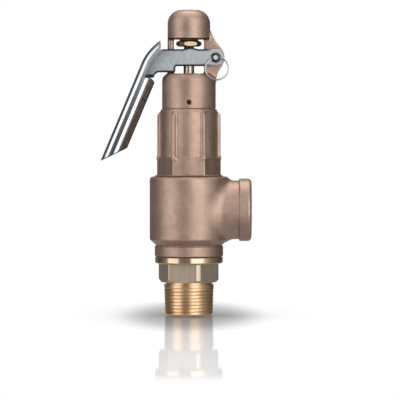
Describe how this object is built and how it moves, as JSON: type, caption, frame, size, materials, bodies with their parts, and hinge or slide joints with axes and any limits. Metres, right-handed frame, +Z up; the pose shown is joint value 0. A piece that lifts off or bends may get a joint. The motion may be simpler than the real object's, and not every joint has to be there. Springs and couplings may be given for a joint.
{
  "type": "pressure relief valve",
  "caption": "Spring-loaded bronze pressure relief valve with screwed inlet below, threaded side outlet, ribbed bonnet, windowed cap and a chromed lever that lifts the spindle.",
  "frame": {"origin": "on the inlet's axis at the end face of its male thread, where the valve is screwed in", "axes": "+Z up the spindle, +X out of the side outlet, -Y towards the side with the pin's ring"},
  "size_m": [0.0816, 0.0424, 0.165],
  "materials": {
    "cast_bronze": "satin cast bronze, tumbled",
    "machined_brass": "bright turned brass",
    "chromed_sheet": "polished chrome plate",
    "stainless": "bright drawn steel",
    "spring_steel": "oiled spring steel",
    "gasket_fibre": "matt pressed fibre",
    "seat_ptfe": "smooth white PTFE"
  },
  "bodies": {
    "valve": {"inlet_nozzle": "machined_brass", "nozzle_gasket": "gasket_fibre", "valve_body": "cast_bronze", "bonnet_gasket": "gasket_fibre", "bonnet": "cast_bronze", "guide_bush": "machined_brass", "main_spring": "spring_steel", "upper_spring_plate": "machined_brass", "adjusting_screw": "machined_brass", "adjusting_lock_nut": "machined_brass", "lever_cap": "cast_bronze", "cap_set_screw": "stainless"},
    "stem": {"spindle": "machined_brass", "valve_disc": "machined_brass", "seat_ring": "seat_ptfe", "seat_screw": "stainless", "thrust_ball": "stainless", "disc_pin": "stainless", "lower_spring_plate": "machined_brass", "lifting_nut": "machined_brass", "lifting_lock_nut": "machined_brass"},
    "lever": {"lift_lever": "chromed_sheet"},
    "pin": {"pivot_pin": "stainless"},
    "ring": {"split_ring": "stainless"}
  },
  "joints": [
    {"name": "lever_pivot", "type": "hinge", "parent": "valve", "child": "lever", "pos_m": [0.0144, 0, 0.1392], "axis": [0, 1, 0], "range_deg": [0, 10]},
    {"name": "spindle_lift", "type": "slide", "parent": "valve", "child": "stem", "axis": [0, 0, 1], "range_m": [0, 0.00265], "deforming": ["main_spring"]},
    {"name": "pin_turn", "type": "hinge", "parent": "valve", "child": "pin", "pos_m": [0.0144, 0, 0.1392], "axis": [0, 1, 0], "range_deg": [-90, 0]},
    {"name": "ring_swing", "type": "hinge", "parent": "pin", "child": "ring", "pos_m": [0.0144, -0.0076, 0.1392], "axis": [-0.9936, 0, -0.1132], "range_deg": [0, 60]}
  ],
  "couplings": [
    {"joint": "spindle_lift", "follows": "lever_pivot", "m_per_rad": 0.015}
  ]
}
